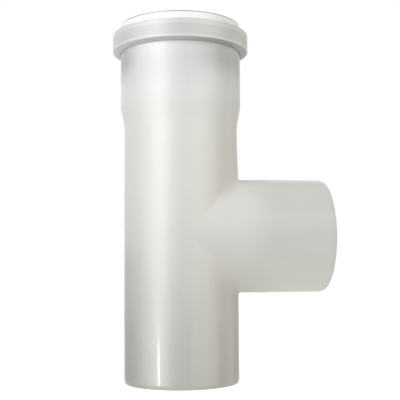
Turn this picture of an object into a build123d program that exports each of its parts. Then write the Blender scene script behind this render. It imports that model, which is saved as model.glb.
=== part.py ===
from build123d import *
import os

os.makedirs("parts", exist_ok=True)

# Tee fitting for 80 mm push-fit polypropylene pipe, in millimetres. The run
# stands on Z with its spigot on the ground plane and its socket on top. The
# branch is a second spigot that points along +X.

# Run and branch, both made from the same pipe
overall_height = 250.0
branch_height = 101.0
branch_reach = 101.0
pipe_radius = 40.0
pipe_wall = 2.0
spigot_step = 0.2
insertion_length = 45.0
spigot_taper = 6.0
end_chamfer_length = 2.5
end_chamfer_depth = 0.8

# Socket, widened from the run to take another spigot
socket_clearance = 0.4
socket_depth = 42.0
bell_length = 13.0
bell_inner_shift = 1.0
socket_edge_break = 0.5
flange_thickness = 1.8

# Seal collar, snapped over the socket's flange
collar_reach = 5.6
collar_height = 13.8
collar_wall = 2.0
collar_floor = 2.2
underside_land = 1.0
underside_rise = 1.5
collar_edge_break = 0.6

# Mouth ring, the lip that guides a pipe in
mouth_height = 6.5
mouth_wall = 1.4
mouth_flange_thickness = 1.6
lead_in_length = 1.5
lead_in_depth = 0.7

# Lip seal
seal_web_setback = 1.2
seal_edge_break = 0.6
lip_gap = 1.2

# Clearances
turning_clearance = 0.1
flange_side_clearance = 0.4
ring_clearance = 0.1
lip_clearance = 0.15

# Radii that follow
body_radius = pipe_radius - spigot_step
bore_radius = body_radius - pipe_wall
socket_radius = pipe_radius + socket_clearance
socket_outer_radius = socket_radius + pipe_wall
collar_radius = socket_outer_radius + collar_reach
chamber_radius = collar_radius - collar_wall
collar_hole_radius = socket_outer_radius + turning_clearance
flange_radius = chamber_radius - flange_side_clearance
ring_radius = chamber_radius - ring_clearance
mouth_radius = socket_outer_radius - mouth_wall
seal_web_radius = socket_radius + seal_web_setback
lip_radius = pipe_radius + lip_clearance

# Heights that follow, from the mouth down
collar_top = overall_height - mouth_height
collar_bottom = collar_top - collar_height
chamber_top = collar_top - collar_wall
chamber_bottom = collar_bottom + collar_floor
ring_bottom = chamber_top - mouth_flange_thickness
flange_bottom = chamber_bottom + turning_clearance
socket_end = flange_bottom + flange_thickness
seal_bottom = socket_end + turning_clearance
bell_end = socket_end - socket_depth
bell_start = bell_end - bell_length
body_start = insertion_length + spigot_taper

# The plane through both pipe axes, centred where they cross
crossing = Plane(origin=(0, 0, branch_height), x_dir=(1, 0, 0), z_dir=(0, -1, 0))


# Run tube: a straight spigot, the body, and a bell that ends in a flange
with BuildPart() as run_tube:
    with BuildSketch(Plane.XZ) as run_profile:
        with BuildLine() as run_outline:
            Polyline(
                (bore_radius, 0),
                (pipe_radius - end_chamfer_depth, 0),
                (pipe_radius, end_chamfer_length),
                (pipe_radius, insertion_length),
                (body_radius, body_start),
                (body_radius, bell_start),
                (socket_outer_radius, bell_end),
                (socket_outer_radius, flange_bottom),
                (flange_radius, flange_bottom),
                (flange_radius, socket_end),
                (socket_radius + socket_edge_break, socket_end),
                (socket_radius, socket_end - socket_edge_break),
                (socket_radius, bell_end + bell_inner_shift),
                (bore_radius, bell_start + bell_inner_shift),
                close=True,
            )
        make_face()
    revolve(axis=Axis.Z)
    # The notch for the branch is cut at 45 degrees from above and from below
    with BuildSketch(crossing) as notch_profile:
        with BuildLine() as notch_outline:
            Polyline(
                (0, 0),
                (2 * body_radius, 2 * body_radius),
                (2 * body_radius, -2 * body_radius),
                close=True,
            )
        make_face()
    extrude(amount=2 * body_radius, both=True, mode=Mode.SUBTRACT)
run_tube.part.label = "run_tube"


# Branch tube: pointed at 45 degrees from above and from below, welded into the notch
with BuildPart() as branch_tube:
    with BuildSketch(crossing) as branch_profile:
        with BuildLine() as branch_outline:
            Polyline(
                (0, bore_radius),
                (0, body_radius),
                (branch_reach - body_start, body_radius),
                (branch_reach - insertion_length, pipe_radius),
                (branch_reach - end_chamfer_length, pipe_radius),
                (branch_reach, pipe_radius - end_chamfer_depth),
                (branch_reach, bore_radius),
                close=True,
            )
        make_face()
    revolve(axis=Axis((0, 0, branch_height), (1, 0, 0)))
    with BuildSketch(crossing) as point_profile:
        with BuildLine() as point_outline:
            Polyline(
                (0, 0),
                (2 * branch_reach, 2 * branch_reach),
                (2 * branch_reach, -2 * branch_reach),
                close=True,
            )
        make_face()
    extrude(amount=2 * pipe_radius, both=True, mode=Mode.INTERSECT)
branch_tube.part.label = "branch_tube"


# Seal collar: a C-section ring, captive on the flange but free to turn on it
with BuildPart() as seal_collar:
    with BuildSketch(Plane.XZ) as collar_profile:
        with BuildLine() as collar_outline:
            Polyline(
                (collar_hole_radius, collar_bottom),
                (collar_hole_radius + underside_land, collar_bottom),
                (collar_radius, collar_bottom + underside_rise),
                (collar_radius, collar_top - collar_edge_break),
                (collar_radius - collar_edge_break, collar_top),
                (socket_outer_radius + ring_clearance, collar_top),
                (socket_outer_radius + ring_clearance, chamber_top),
                (chamber_radius, chamber_top),
                (chamber_radius, chamber_bottom),
                (collar_hole_radius, chamber_bottom),
                close=True,
            )
        make_face()
    revolve(axis=Axis.Z)
seal_collar.part.label = "seal_collar"


# Mouth ring: a thin lip on a flange that the collar traps above the seal
with BuildPart() as mouth_ring:
    with BuildSketch(Plane.XZ) as ring_profile:
        with BuildLine() as ring_outline:
            Polyline(
                (mouth_radius, ring_bottom),
                (ring_radius, ring_bottom),
                (ring_radius, chamber_top),
                (socket_outer_radius, chamber_top),
                (socket_outer_radius, overall_height),
                (mouth_radius + lead_in_depth, overall_height),
                (mouth_radius, overall_height - lead_in_length),
                close=True,
            )
        make_face()
    revolve(axis=Axis.Z)
mouth_ring.part.label = "mouth_ring"


# Lip seal: a rubber ring that fills the chamber's height, with two wedge lips
# that point down the socket, as an inserted pipe bends them
lip_root = (ring_bottom - seal_bottom - 2 * seal_edge_break - lip_gap) / 2
upper_lip_top = ring_bottom - seal_edge_break
upper_lip_tip = upper_lip_top - lip_root
lower_lip_top = upper_lip_tip - lip_gap
lower_lip_tip = lower_lip_top - lip_root
with BuildPart() as lip_seal:
    with BuildSketch(Plane.XZ) as seal_profile:
        with BuildLine() as seal_outline:
            Polyline(
                (seal_web_radius, seal_bottom),
                (ring_radius - seal_edge_break, seal_bottom),
                (ring_radius, seal_bottom + seal_edge_break),
                (ring_radius, ring_bottom - seal_edge_break),
                (ring_radius - seal_edge_break, ring_bottom),
                (seal_web_radius, ring_bottom),
                (seal_web_radius, upper_lip_top),
                (lip_radius, upper_lip_tip),
                (seal_web_radius, upper_lip_tip),
                (seal_web_radius, lower_lip_top),
                (lip_radius, lower_lip_tip),
                (seal_web_radius, lower_lip_tip),
                close=True,
            )
        make_face()
    revolve(axis=Axis.Z)
lip_seal.part.label = "lip_seal"


export_step(run_tube.part, "parts/run_tube.step")
export_step(branch_tube.part, "parts/branch_tube.step")
export_step(seal_collar.part, "parts/seal_collar.step")
export_step(mouth_ring.part, "parts/mouth_ring.step")
export_step(lip_seal.part, "parts/lip_seal.step")
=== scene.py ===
from math import cos, pi, radians, sin, tau

import bmesh
import bpy
from mathutils import Matrix, Vector


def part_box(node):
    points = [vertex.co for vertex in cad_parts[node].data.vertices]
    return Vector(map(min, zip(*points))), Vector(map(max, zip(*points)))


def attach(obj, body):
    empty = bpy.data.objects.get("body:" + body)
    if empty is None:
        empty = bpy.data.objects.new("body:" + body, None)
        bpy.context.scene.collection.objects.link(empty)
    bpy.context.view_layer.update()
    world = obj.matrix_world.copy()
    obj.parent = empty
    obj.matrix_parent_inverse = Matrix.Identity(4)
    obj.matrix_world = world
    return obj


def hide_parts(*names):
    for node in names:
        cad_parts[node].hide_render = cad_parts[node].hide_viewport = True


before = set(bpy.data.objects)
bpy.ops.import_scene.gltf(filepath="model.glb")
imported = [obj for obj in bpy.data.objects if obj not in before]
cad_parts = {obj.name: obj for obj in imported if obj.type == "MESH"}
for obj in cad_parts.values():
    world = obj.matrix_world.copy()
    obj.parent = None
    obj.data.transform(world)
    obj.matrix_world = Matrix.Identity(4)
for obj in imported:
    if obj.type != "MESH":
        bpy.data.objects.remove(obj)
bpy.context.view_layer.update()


# ---------------------------------------------------------------- Camera and studio
# The fitting stands in front of a white sweep. The camera is a little left of
# square on and below the branch, so it sees the socket's collar from underneath.
camera_data = bpy.data.cameras.new("camera")
camera = bpy.data.objects.new("camera", camera_data)
bpy.context.scene.collection.objects.link(camera)
bpy.context.scene.camera = camera
camera_data.lens = 72.16
camera_data.sensor_width = 36.0
camera_yaw, camera_pitch, camera_roll = 0.1454, 0.0795, -0.0067
camera.location = (-0.0685, -0.5601, 0.0815)
camera.rotation_euler = (
    Matrix.Rotation(-camera_yaw, 3, "Z")
    @ Matrix.Rotation(pi / 2 + camera_pitch, 3, "X")
    @ Matrix.Rotation(camera_roll, 3, "Z")
).to_euler()
bpy.context.scene.view_settings.view_transform = "Standard"
bpy.context.scene.view_settings.look = "None"


def soft_box(name, place, aim, width, height, power, colour, matt=True, gloss=True):
    """A rectangular studio light that faces a point on the fitting."""
    data = bpy.data.lights.new(name, "AREA")
    data.shape = "RECTANGLE"
    data.size = width
    data.size_y = height
    data.energy = power
    data.color = colour
    box = bpy.data.objects.new(name, data)
    box.location = place
    box.rotation_euler = (Vector(aim) - Vector(place)).to_track_quat("-Z", "Y").to_euler()
    box.visible_camera = False
    box.visible_diffuse = matt
    box.visible_glossy = gloss
    bpy.context.scene.collection.objects.link(box)


# Four matt boxes give the form. They hang near the socket, so the light falls
# off towards the floor.
white_light = (1.0, 1.0, 1.0)
matt_light = (0.97, 0.98, 1.0)
matt_box_side = 0.30
matt_box_aim = (0.0, 0.0, 0.20)
for name, place, power in (
    ("front_left_box", (-0.35, -0.35, 0.33), 1.70),
    ("front_right_box", (0.35, -0.35, 0.33), 0.76),
    ("back_left_box", (-0.35, 0.42, 0.33), 1.10),
    ("back_right_box", (0.35, 0.42, 0.33), 1.10),
):
    soft_box(
        name, place, matt_box_aim, matt_box_side, matt_box_side,
        power, matt_light, gloss=False,
    )

# Tall boxes, by bearing from the front and round to the left, only draw the
# long soft highlights down the pipe.
box_distance = 1.0
tall_box_height = 1.30
tall_box_aim = (0.0, 0.0, 0.17)


def around(bearing, height):
    """A place at a bearing, from the front and round to the left."""
    turn = radians(bearing)
    return (-box_distance * sin(turn), -box_distance * cos(turn), height)


for bearing, width, power, colour in (
    (34, 0.22, 0.9, white_light),
    (45, 0.22, 1.5, white_light),
    (56, 0.22, 1.5, white_light),
    (67, 0.22, 1.15, white_light),
    (78, 0.22, 1.05, white_light),
    (90, 0.22, 0.6, white_light),
    (-28, 0.50, 2.1, (1.0, 0.97, 0.90)),
    (-55, 0.50, 2.4, (1.0, 0.90, 0.70)),
    (-105, 0.50, 1.8, (1.0, 0.86, 0.60)),
    (165, 0.50, 1.5, white_light),
    (-150, 0.50, 1.2, white_light),
):
    soft_box(
        "tall_box", around(bearing, 0.22), tall_box_aim, width, tall_box_height,
        power, colour, matt=False,
    )

# A thin strip low down draws the sharp streak on the glossy end of the run
streak_box_width, streak_box_height = 0.02, 0.20
soft_box(
    "streak_box", around(52, -0.165), (0.0, 0.0, 0.02), streak_box_width, streak_box_height,
    1.5, white_light, matt=False,
)

# The room lights the fitting from above and from below, and is a little warm
light_from_above, light_from_below = 0.80, 1.30
world = bpy.data.worlds.new("studio")
bpy.context.scene.world = world
world.use_nodes = True
room = world.node_tree
room_direction = room.nodes.new("ShaderNodeTexCoord")
room_split = room.nodes.new("ShaderNodeSeparateXYZ")
room.links.new(room_direction.outputs["Generated"], room_split.inputs[0])
room_sum = room.nodes.new("ShaderNodeMath")
for index, (far, strength) in enumerate(((1.0, light_from_above), (-1.0, light_from_below))):
    reach = room.nodes.new("ShaderNodeMapRange")
    reach.inputs["From Max"].default_value = far
    reach.inputs["To Max"].default_value = strength
    room.links.new(room_split.outputs["Z"], reach.inputs["Value"])
    room.links.new(reach.outputs["Result"], room_sum.inputs[index])
room.links.new(room_sum.outputs[0], room.nodes["Background"].inputs["Strength"])
room.nodes["Background"].inputs["Color"].default_value = (1.0, 0.995, 0.945, 1.0)


def stage_piece(name, shape, glow, albedo):
    """A glowing white floor or backdrop that only the camera sees, so it lights nothing."""
    material = bpy.data.materials.new(name)
    material.use_nodes = True
    shader = material.node_tree.nodes["Principled BSDF"]
    shader.inputs["Base Color"].default_value = (albedo, albedo, albedo, 1.0)
    shader.inputs["Roughness"].default_value = 1.0
    shader.inputs["Specular IOR Level"].default_value = 0.0
    shader.inputs["Emission Color"].default_value = (1.0, 1.0, 1.0, 1.0)
    shader.inputs["Emission Strength"].default_value = glow
    mesh = bpy.data.meshes.new(name)
    shape.to_mesh(mesh)
    shape.free()
    mesh.materials.append(material)
    made = bpy.data.objects.new(name, mesh)
    bpy.context.scene.collection.objects.link(made)
    made.visible_diffuse = False
    made.visible_glossy = False
    made.visible_transmission = False
    made.visible_shadow = False


floor_shape = bmesh.new()
bmesh.ops.create_grid(floor_shape, x_segments=1, y_segments=1, size=5.0)
stage_piece("floor", floor_shape, glow=0.62, albedo=0.80)

dome_shape = bmesh.new()
bmesh.ops.create_icosphere(dome_shape, subdivisions=4, radius=6.0)
bmesh.ops.reverse_faces(dome_shape, faces=dome_shape.faces)
stage_piece("backdrop", dome_shape, glow=1.0, albedo=0.0)


# ---------------------------------------------------------------- Run and branch
# Two lengths of the same milky polypropylene pipe. The run is belled and flanged
# at its top. The branch is mitred both ways and fused into it, with a fillet that
# widens down the flanks and a slight swell of the run above it.
mm = 0.001
turn_steps = 144
run_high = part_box("run_tube")[1]
branch_low, branch_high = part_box("branch_tube")
branch_height = round((branch_low.z + branch_high.z) / 2, 5)
branch_reach = round(branch_high.x, 5)
pipe_radius = round(branch_high.y, 4)
body_radius = pipe_radius - 0.2 * mm
pipe_wall = 2.0 * mm
bore_radius = body_radius - pipe_wall
spigot_length = 45.0 * mm
spigot_end = 51.0 * mm
chamfer_length = 2.5 * mm
chamfer_depth = 0.8 * mm
rim_softening = 0.25 * mm
socket_radius = pipe_radius + 0.4 * mm
socket_outer_radius = socket_radius + pipe_wall
flange_radius = round(run_high.y, 4)
flange_thickness = 1.8 * mm
socket_top = round(run_high.z, 5)
bell_end = socket_top - 42.0 * mm
bell_start = bell_end - 13.0 * mm
bell_shift = 1.0 * mm
bell_softening = 2.5 * mm
weld_loops = tuple(
    lift * mm for lift in (0.5, 1.0, 1.6, 2.3, 3.2, 4.4, 6.0, 8.0, 11.0, 16.0, 25.0)
)
weld_fillet = 1.9 * mm
flank_fillet = 15.0 * mm
swell = 0.65 * mm
swell_height = 24.0 * mm
crease_angle = radians(40)


def turned(corners):
    """A ring turned about Z from a closed outline of (radius, height, rounding) corners."""
    shape = bmesh.new()
    points = [shape.verts.new((radius, 0.0, height)) for radius, height, rounding in corners]
    for first, second in zip(points, points[1:] + points[:1]):
        shape.edges.new((first, second))
    for rounding in sorted({corner[2] for corner in corners} - {0}):
        chosen = [point for point, corner in zip(points, corners) if corner[2] == rounding]
        bmesh.ops.bevel(
            shape, geom=chosen, affect="VERTICES", offset=rounding, offset_type="OFFSET",
            segments=4, profile=0.5, material=-1,
        )
    bmesh.ops.spin(
        shape, geom=shape.verts[:] + shape.edges[:], cent=(0.0, 0.0, 0.0),
        axis=(0.0, 0.0, 1.0), angle=tau, steps=turn_steps, use_merge=True,
    )
    bmesh.ops.remove_doubles(shape, verts=shape.verts, dist=1e-7)
    bmesh.ops.recalc_face_normals(shape, faces=shape.faces)
    return shape


def cut(shape, chosen, place, normal):
    """Cuts the chosen faces along a plane, and keeps both sides."""
    geom = set(chosen)
    for face in chosen:
        geom.update(face.edges)
        geom.update(face.verts)
    bmesh.ops.bisect_plane(shape, geom=list(geom), dist=1e-7, plane_co=place, plane_no=normal)


def past_mitre(point):
    """How far a point lies past the mitre planes, away from the branch."""
    return abs(point.z - branch_height) - point.x


weld_shape = turned([
    (bore_radius, 0.0, rim_softening),
    (pipe_radius - chamfer_depth, 0.0, rim_softening),
    (pipe_radius, chamfer_length, 3 * rim_softening),
    (pipe_radius, spigot_length, 0),
    (body_radius, spigot_end, 0),
    (body_radius, branch_height, 0),
    (body_radius, bell_start, bell_softening),
    (socket_outer_radius, bell_end, bell_softening),
    (socket_outer_radius, socket_top - flange_thickness, 0),
    (flange_radius, socket_top - flange_thickness, rim_softening),
    (flange_radius, socket_top, rim_softening),
    (socket_radius, socket_top, 2 * rim_softening),
    (socket_radius, bell_end + bell_shift, bell_softening),
    (bore_radius, bell_start + bell_shift, bell_softening),
    (bore_radius, branch_height, 0),
])

# The run's half is cut along both mitre planes, and then in loops that spread
# out from the weld. Faces of the run are marked 0, and those of the branch 1.
weld_shape.faces.layers.int.new("belongs")
for side in (1, -1):
    for lift in (0.0, *weld_loops):
        facing = [
            face for face in weld_shape.faces
            if face.calc_center_median().x > 0
            and (face.calc_center_median().z - branch_height) * side > 0
            and face.calc_center_median().z < bell_start + bell_shift
        ]
        cut(weld_shape, facing, (0.0, 0.0, branch_height + side * lift), (1.0, 0.0, -side))
cut_away = [face for face in weld_shape.faces if past_mitre(face.calc_center_median()) < 0]
bmesh.ops.delete(weld_shape, geom=cut_away, context="FACES")

branch_shape = turned([
    (bore_radius, 0.0, 0),
    (body_radius, 0.0, 0),
    (body_radius, branch_reach - spigot_end, 0),
    (pipe_radius, branch_reach - spigot_length, 0),
    (pipe_radius, branch_reach - chamfer_length, 3 * rim_softening),
    (pipe_radius - chamfer_depth, branch_reach, rim_softening),
    (bore_radius, branch_reach, rim_softening),
])
bmesh.ops.rotate(
    branch_shape, verts=branch_shape.verts, cent=(0.0, 0.0, 0.0),
    matrix=Matrix.Rotation(pi / 2, 3, "Y"),
)
bmesh.ops.translate(branch_shape, verts=branch_shape.verts, vec=(0.0, 0.0, branch_height))

# The branch's half is cut to a matching point, with fewer loops as it is shorter
for side in (1, -1):
    for lift in (0.0, *weld_loops[:-2]):
        facing = [
            face for face in branch_shape.faces
            if (face.calc_center_median().z - branch_height) * side > 0
            and face.calc_center_median().x < branch_reach - spigot_end + mm
        ]
        cut(branch_shape, facing, (lift, 0.0, branch_height), (1.0, 0.0, -side))
cut_away = [face for face in branch_shape.faces if past_mitre(face.calc_center_median()) > 0]
bmesh.ops.delete(branch_shape, geom=cut_away, context="FACES")
branch_belongs = branch_shape.faces.layers.int.new("belongs")
for face in branch_shape.faces:
    face[branch_belongs] = 1

# The two halves are fused along the mitres
branch_mesh = bpy.data.meshes.new("branch_half")
branch_shape.to_mesh(branch_mesh)
branch_shape.free()
weld_shape.from_mesh(branch_mesh)
bpy.data.meshes.remove(branch_mesh)
bmesh.ops.remove_doubles(weld_shape, verts=weld_shape.verts, dist=1e-6)
bmesh.ops.recalc_face_normals(weld_shape, faces=weld_shape.faces)


def outside_weld(point):
    """Distance outside the two pipes, with the swell and the fillet between them."""
    flank = min((point.y / body_radius) ** 2, 1.0)
    above = (point.z - branch_height - point.x) / swell_height
    fade = 1 - min(max(above, 0.0), 1.0) if point.z > branch_height else 0.0
    swollen = swell * fade * fade * (3 - 2 * fade) * (1 - flank)
    run_gap = Vector((point.x, point.y)).length - body_radius - swollen
    branch_gap = Vector((point.y, point.z - branch_height)).length - body_radius
    fillet = (1 - flank) * (weld_fillet + flank_fillet * flank)
    into_run = max(fillet - run_gap, 0.0)
    into_branch = max(fillet - branch_gap, 0.0)
    if into_run and into_branch:
        return fillet - Vector((into_run, into_branch)).length
    return min(run_gap, branch_gap)


# Outer points near the weld are moved square to the surface until they lie on it
nudge = 0.01 * mm
touching = 0.05 * mm
settling_rounds = 4
for vert in weld_shape.verts:
    from_run = Vector((vert.co.x, vert.co.y)).length
    from_branch = Vector((vert.co.y, vert.co.z - branch_height)).length
    on_outside = min(abs(from_run - body_radius), abs(from_branch - body_radius)) < touching
    near = abs(past_mitre(vert.co)) < swell_height and vert.co.x > nudge
    if near and on_outside and vert.co.z < bell_start - bell_softening:
        for _ in range(settling_rounds):
            gap = outside_weld(vert.co)
            slope = Vector([
                (outside_weld(vert.co + nudge * axis) - gap) / nudge
                for axis in Matrix.Identity(3)
            ])
            vert.co -= slope * (gap / slope.length_squared)


def shaded(shape):
    """Stores a smooth normal at each face corner, weighted by area to keep wide walls true."""
    bmesh.ops.recalc_face_normals(shape, faces=shape.faces)
    smooth = shape.loops.layers.float_vector.new("smooth")
    for face in shape.faces:
        for loop in face.loops:
            total = Vector()
            for other in loop.vert.link_faces:
                if other.normal.angle(face.normal, 0.0) < crease_angle:
                    total += other.normal * other.calc_area()
            loop[smooth] = total.normalized()
    return shape


def one_side(shape, side):
    """One of two fused pieces, closed where it meets the other."""
    piece = shape.copy()
    layer = piece.faces.layers.int["belongs"]
    smooth = piece.loops.layers.float_vector["smooth"]
    other = [face for face in piece.faces if face[layer] != side]
    bmesh.ops.delete(piece, geom=other, context="FACES")
    rims = [edge for edge in piece.edges if len(edge.link_faces) == 1]
    closed = bmesh.ops.bridge_loops(piece, edges=rims)["faces"]
    bmesh.ops.recalc_face_normals(piece, faces=piece.faces)
    for face in closed:
        for loop in face.loops:
            loop[smooth] = face.normal
    return piece


class Shade:
    """A shader socket that plain Python arithmetic can be done on."""

    def __init__(self, tree, socket):
        self.tree = tree
        self.socket = socket

    def node(self, kind, settings, sockets, output=0):
        """Adds a node of any type, and returns one of its outputs."""
        made = self.tree.nodes.new(kind)
        for name, value in settings.items():
            setattr(made, name, value)
        for name, value in sockets.items():
            if isinstance(value, Shade):
                self.tree.links.new(value.socket, made.inputs[name])
            else:
                made.inputs[name].default_value = value
        return Shade(self.tree, made.outputs[output])

    def maths(self, operation, first, second):
        return self.node("ShaderNodeMath", {"operation": operation}, {0: first, 1: second})

    def __add__(self, other):
        return self.maths("ADD", self, other)

    def __mul__(self, other):
        return self.maths("MULTIPLY", self, other)

    def __sub__(self, other):
        return self.maths("SUBTRACT", self, other)

    def __rsub__(self, other):
        return self.maths("SUBTRACT", other, self)

    __radd__ = __add__
    __rmul__ = __mul__


def new_finish(name):
    """A new empty material, and the place on the piece as a vector."""
    material = bpy.data.materials.new(name)
    material.use_nodes = True
    material.node_tree.nodes.clear()
    here = Shade(material.node_tree, None).node("ShaderNodeTexCoord", {}, {}, "Object")
    return material, here


def noise(here, scale, detail, stretch=(1.0, 1.0, 1.0)):
    """Soft random blotches, from 0 to 1, drawn out along the smallest stretch."""
    drawn = here.node("ShaderNodeMapping", {}, {"Vector": here, "Scale": stretch}, "Vector")
    sockets = {"Vector": drawn, "Scale": scale, "Detail": detail}
    return here.node("ShaderNodeTexNoise", {}, sockets)


def along(here, axis):
    """One coordinate of the place on the piece."""
    return here.node("ShaderNodeSeparateXYZ", {}, {"Vector": here}, axis)


def rise(value, start, end, low=0.0, high=1.0):
    """A soft step from low to high as the value goes from start to end."""
    return value.node(
        "ShaderNodeMapRange", {"interpolation_type": "SMOOTHSTEP"},
        {"Value": value, "From Min": start, "From Max": end, "To Min": low, "To Max": high},
    )


def blend(here, factor, first, second):
    """A colour between two others."""
    sockets = {"Factor": factor, 6: first, 7: second}
    return here.node("ShaderNodeMix", {"data_type": "RGBA"}, sockets, 2)


def bump(here, relief, depth, strength):
    """A fine relief, for the shader's Normal."""
    sockets = {"Height": relief, "Distance": depth, "Strength": strength}
    return here.node("ShaderNodeBump", {}, sockets, "Normal")


def surface(here, sockets):
    """Ends a material with one shader."""
    shader = here.node("ShaderNodeBsdfPrincipled", {}, sockets, "BSDF")
    out = here.tree.nodes.new("ShaderNodeOutputMaterial")
    here.tree.links.new(shader.socket, out.inputs["Surface"])


plastic_ior = 1.49
fine_grain = 1400.0
black = (0.0, 0.0, 0.0, 1.0)

# Where each change of tone and each painted shade on the pipes starts and ends, by height or
# across
bell_tone = (socket_top - 63.8 * mm, socket_top + 1.2 * mm)
collar_shade = (socket_top - 38.8 * mm, socket_top - 21.8 * mm)
collar_shade_end = (socket_top - 16.8 * mm, socket_top - 5.8 * mm)
side_shade = (socket_top - 29.8 * mm, socket_top - 11.8 * mm)
side_shade_end = (socket_top - 10.8 * mm, socket_top - 2.8 * mm)
right_side = (-10.0 * mm, 24.0 * mm)
left_side = (-30.0 * mm, -42.0 * mm)
foot_shade = (-20.0 * mm, 130.0 * mm)
low_left = (-20.0 * mm, -41.0 * mm)
low_left_shade = (branch_height + 4.0 * mm, branch_height - 21.0 * mm)
branch_shade = (branch_height - 26.0 * mm, branch_height + 2.0 * mm)
branch_shade_across = (34.0 * mm, 62.0 * mm)
socket_gloss = (socket_top - 33.8 * mm, socket_top - 11.8 * mm)


def milky_pipe(name, stretch, end_axis, end_start, end_finish):
    """Milky polypropylene: clouded, drawn along its length, and glossier where pipes meet."""
    material, here = new_finish(name)
    clouds = noise(here, 16.0, 3.0)
    patches = noise(here, 34.0, 2.0)
    streaks = noise(here, 300.0, 3.0, stretch)
    grain = noise(here, fine_grain, 2.0)
    height = along(here, "Z")
    across = along(here, "X")
    end = rise(along(here, end_axis), end_start, end_finish)

    # Warmer below, where the wall is plain pipe, and cooler where the socket doubles it
    warm = blend(here, clouds, (0.705, 0.695, 0.660, 1.0), (0.722, 0.712, 0.684, 1.0))
    cool = blend(here, clouds, (0.690, 0.697, 0.702, 1.0), (0.716, 0.722, 0.724, 1.0))
    pale = blend(here, rise(height + patches * 0.03, *bell_tone), warm, cool)

    # Painted shade: darker under the collar, down the sides of the socket, towards the foot,
    # low on the left and along the top of the branch. Both pipes share it, so no seam shows
    # between them.
    painted_shade_under_collar = rise(height, *collar_shade) * rise(height, *collar_shade_end, 1.0, 0.0)
    painted_socket_side_shade = rise(height, *side_shade) * rise(height, *side_shade_end, 1.0, 0.75)
    painted_side_shade_depth = rise(across, *right_side, 0.0, 0.25) + rise(across, *left_side, 0.0, 0.34)
    painted_foot_shade = rise(height, *foot_shade, 0.24, 0.0)
    painted_low_left_shade = rise(height, *low_left_shade) * rise(across, *low_left, 0.0, 0.11)
    painted_branch_top_shade = rise(height, *branch_shade, 0.0, 0.14) * rise(across, *branch_shade_across)
    # The painted shade and a random mottling add up to one darkening of the base colour
    painted_shade_and_mottle = (
        painted_foot_shade + painted_branch_top_shade + painted_low_left_shade + painted_shade_under_collar * 0.06 + painted_socket_side_shade * painted_side_shade_depth
        + patches * 0.05 + streaks * 0.03 - 0.04
    )
    surface(here, {
        "Base Color": blend(here, painted_shade_and_mottle, pale, black),
        "Roughness": 0.34 + clouds * 0.06 + streaks * 0.06,
        "IOR": plastic_ior,
        "Specular IOR Level": 1.0,
        "Coat Weight": end * 0.45 + rise(height, *socket_gloss) * 0.18,
        "Coat Roughness": 0.10,
        "Coat IOR": plastic_ior,
        "Normal": bump(here, streaks * 0.6 + grain * 0.4, 0.15 * mm, 0.10),
    })
    return material


def finish_piece(name, shape, material, body, node):
    """Makes a shape an object, parents it to the body it moves with, and hides the part it
    stands for.
    """
    mesh = bpy.data.meshes.new(name)
    shape.to_mesh(mesh)
    shape.free()
    mesh.polygons.foreach_set("use_smooth", [True] * len(mesh.polygons))
    smooth = [corner.vector[:] for corner in mesh.attributes["smooth"].data]
    mesh.attributes.remove(mesh.attributes["smooth"])
    mesh.normals_split_custom_set(smooth)
    mesh.materials.append(material)
    made = bpy.data.objects.new(name, mesh)
    bpy.context.scene.collection.objects.link(made)
    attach(made, body)
    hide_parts(node)


shaded(weld_shape)
gloss_fade = 10 * mm
run_finish = milky_pipe(
    "milky_run", (1.0, 1.0, 0.05), "Z", spigot_end, spigot_length - gloss_fade
)
branch_finish = milky_pipe(
    "milky_branch", (0.05, 1.0, 1.0), "X",
    branch_reach - spigot_end, branch_reach - spigot_length + gloss_fade,
)
run_side = one_side(weld_shape, 0)
branch_side = one_side(weld_shape, 1)
finish_piece("run_pipe", run_side, run_finish, "tee", "run_tube")
finish_piece("branch_pipe", branch_side, branch_finish, "tee", "branch_tube")
weld_shape.free()


# ---------------------------------------------------------------- Seal collar
# A stiffer, slightly greyer moulded ring with a C-shaped section, snapped over
# the socket's flange. It holds the seal and the mouth ring.
collar_low, collar_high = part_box("seal_collar")
collar_radius = round(collar_high.x, 4)
collar_top = round(collar_high.z, 5)
collar_bottom = round(collar_low.z, 5)
collar_wall = 2.0 * mm
collar_floor = 2.2 * mm
collar_hole = socket_outer_radius + 0.1 * mm
underside_land = 1.0 * mm
underside_rise = 1.5 * mm
small_edge = 0.2 * mm
collar_shape = turned([
    (collar_hole, collar_bottom, small_edge),
    (collar_hole + underside_land, collar_bottom, 0.4 * mm),
    (collar_radius, collar_bottom + underside_rise, 0.7 * mm),
    (collar_radius, collar_top, 0.9 * mm),
    (collar_hole, collar_top, small_edge),
    (collar_hole, collar_top - collar_wall, 0),
    (collar_radius - collar_wall, collar_top - collar_wall, 0),
    (collar_radius - collar_wall, collar_bottom + collar_floor, 0),
    (collar_hole, collar_bottom + collar_floor, small_edge),
])
grey, here = new_finish("collar_polypropylene")
clouds = noise(here, 20.0, 2.0)
grain = noise(here, fine_grain, 2.0)
height = along(here, "Z")

# A painted highlight makes a band below the top and the rounded lower edge paler, and
# painted shade darkens the underside, more towards the right
face_grey = blend(here, clouds, (0.550, 0.557, 0.553, 1.0), (0.578, 0.584, 0.578, 1.0))
# Painted highlights along the two rounded edges
painted_upper_highlight = rise(height, collar_top - 4.0 * mm, collar_top - 3.3 * mm)
painted_lower_highlight = rise(height, collar_bottom + 1.2 * mm, collar_bottom + 1.7 * mm) * rise(
    height, collar_bottom + 2.4 * mm, collar_bottom + 3.4 * mm, 1.0, 0.0
)
edges = painted_upper_highlight * 0.34 + painted_lower_highlight * 0.45
grey_with_painted_highlights = blend(here, edges, face_grey, (0.80, 0.80, 0.79, 1.0))
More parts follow.
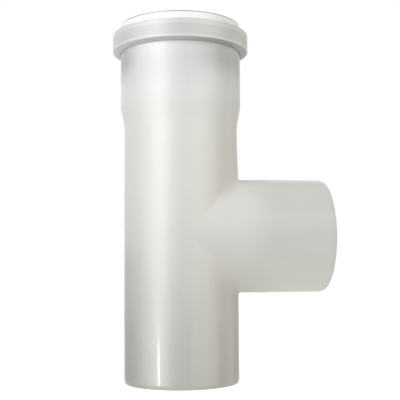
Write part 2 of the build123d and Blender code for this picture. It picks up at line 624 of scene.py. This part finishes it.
# Painted shade on the underside, darker towards the right
underside = rise(height, collar_bottom + 1.0 * mm, collar_bottom + 1.6 * mm, 1.0, 0.0)
painted_underside_shade = underside * rise(along(here, "X"), -30.0 * mm, 30.0 * mm, 0.14, 0.46)
surface(here, {
    "Base Color": blend(here, painted_underside_shade, grey_with_painted_highlights, (0.05, 0.05, 0.05, 1.0)),
    "Roughness": 0.32 + clouds * 0.08,
    "IOR": plastic_ior,
    "Specular IOR Level": 1.0,
    "Normal": bump(here, grain, 0.1 * mm, 0.08),
})
finish_piece(
    "collar_ring", shaded(collar_shape), grey, "seal_set", "seal_collar"
)


# ---------------------------------------------------------------- Mouth ring
# A thin, very white lip that guides the pipe in. Its flange is trapped
# under the top of the collar, above the seal.
mouth_low, mouth_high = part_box("mouth_ring")
mouth_top = round(mouth_high.z, 5)
mouth_bottom = round(mouth_low.z, 5)
mouth_flange_radius = round(mouth_high.x, 4)
mouth_outer = socket_outer_radius
mouth_inner = mouth_outer - 1.4 * mm
lead_in_length = 1.5 * mm
lead_in_depth = 0.7 * mm
mouth_shape = turned([
    (mouth_inner, mouth_bottom, 0.3 * mm),
    (mouth_flange_radius, mouth_bottom, small_edge),
    (mouth_flange_radius, collar_top - collar_wall, small_edge),
    (mouth_outer, collar_top - collar_wall, 0),
    (mouth_outer, mouth_top, 0.3 * mm),
    (mouth_inner + lead_in_depth, mouth_top, small_edge),
    (mouth_inner, mouth_top - lead_in_length, 0.5 * mm),
])
white, here = new_finish("mouth_polypropylene")
clouds = noise(here, 24.0, 2.0)
grain = noise(here, fine_grain, 2.0)
height = along(here, "Z")

# Painted shade: a thin darker line round the rim's outer wall, and a soft one round its foot
lip_white = blend(here, clouds, (0.945, 0.947, 0.943, 1.0), (0.968, 0.968, 0.963, 1.0))
flat = here.node(
    "ShaderNodeVectorMath", {"operation": "MULTIPLY"}, {0: here, 1: (1.0, 1.0, 0.0)}, "Vector"
)
radius = flat.node("ShaderNodeVectorMath", {"operation": "LENGTH"}, {0: flat}, "Value")
outside = rise(radius, mouth_outer - 0.30 * mm, mouth_outer - 0.10 * mm)
painted_rim_shade = rise(height, mouth_top - 0.9 * mm, mouth_top - 0.5 * mm, 0.0, 0.70) * outside
painted_foot_shade = rise(height, collar_top + 0.2 * mm, collar_top + 0.8 * mm, 0.22, 0.0)
surface(here, {
    "Base Color": blend(here, painted_rim_shade + painted_foot_shade, lip_white, (0.10, 0.10, 0.10, 1.0)),
    "Roughness": 0.30 + clouds * 0.08,
    "IOR": plastic_ior,
    "Specular IOR Level": 1.0,
    "Normal": bump(here, grain, 0.1 * mm, 0.08),
})
finish_piece("mouth_lip", shaded(mouth_shape), white, "seal_set", "mouth_ring")


# ---------------------------------------------------------------- Lip seal
# A black rubber ring in the chamber behind the collar, with two wedge lips
# that lean down the socket and wipe the pipe.
seal_low, seal_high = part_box("lip_seal")
seal_outer = round(seal_high.x, 4)
seal_web = socket_radius + 1.2 * mm
seal_tip = pipe_radius + 0.15 * mm
seal_top = round(seal_high.z, 5)
seal_bottom = round(seal_low.z, 5)
seal_edge = 0.6 * mm
lip_gap = 1.2 * mm
lip_root = (seal_top - seal_bottom - 2 * seal_edge - lip_gap) / 2
upper_lip = seal_top - seal_edge
lower_lip = upper_lip - lip_root - lip_gap
seal_shape = turned([
    (seal_web, seal_bottom, 0.1 * mm),
    (seal_outer, seal_bottom, seal_edge),
    (seal_outer, seal_top, seal_edge),
    (seal_web, seal_top, 0.1 * mm),
    (seal_web, upper_lip, 0.1 * mm),
    (seal_tip, upper_lip - lip_root, 0.2 * mm),
    (seal_web, upper_lip - lip_root, 0.3 * mm),
    (seal_web, lower_lip, 0.1 * mm),
    (seal_tip, lower_lip - lip_root, 0.2 * mm),
    (seal_web, lower_lip - lip_root, 0.3 * mm),
])
rubber, here = new_finish("seal_rubber")
bloom = noise(here, 60.0, 4.0)
grain = noise(here, 1500.0, 2.0)
surface(here, {
    "Base Color": blend(here, bloom, (0.018, 0.018, 0.019, 1.0), (0.035, 0.035, 0.036, 1.0)),
    "Roughness": 0.50 + bloom * 0.15,
    "Normal": bump(here, grain, 0.1 * mm, 0.15),
})
finish_piece("rubber_seal", shaded(seal_shape), rubber, "seal_set", "lip_seal")
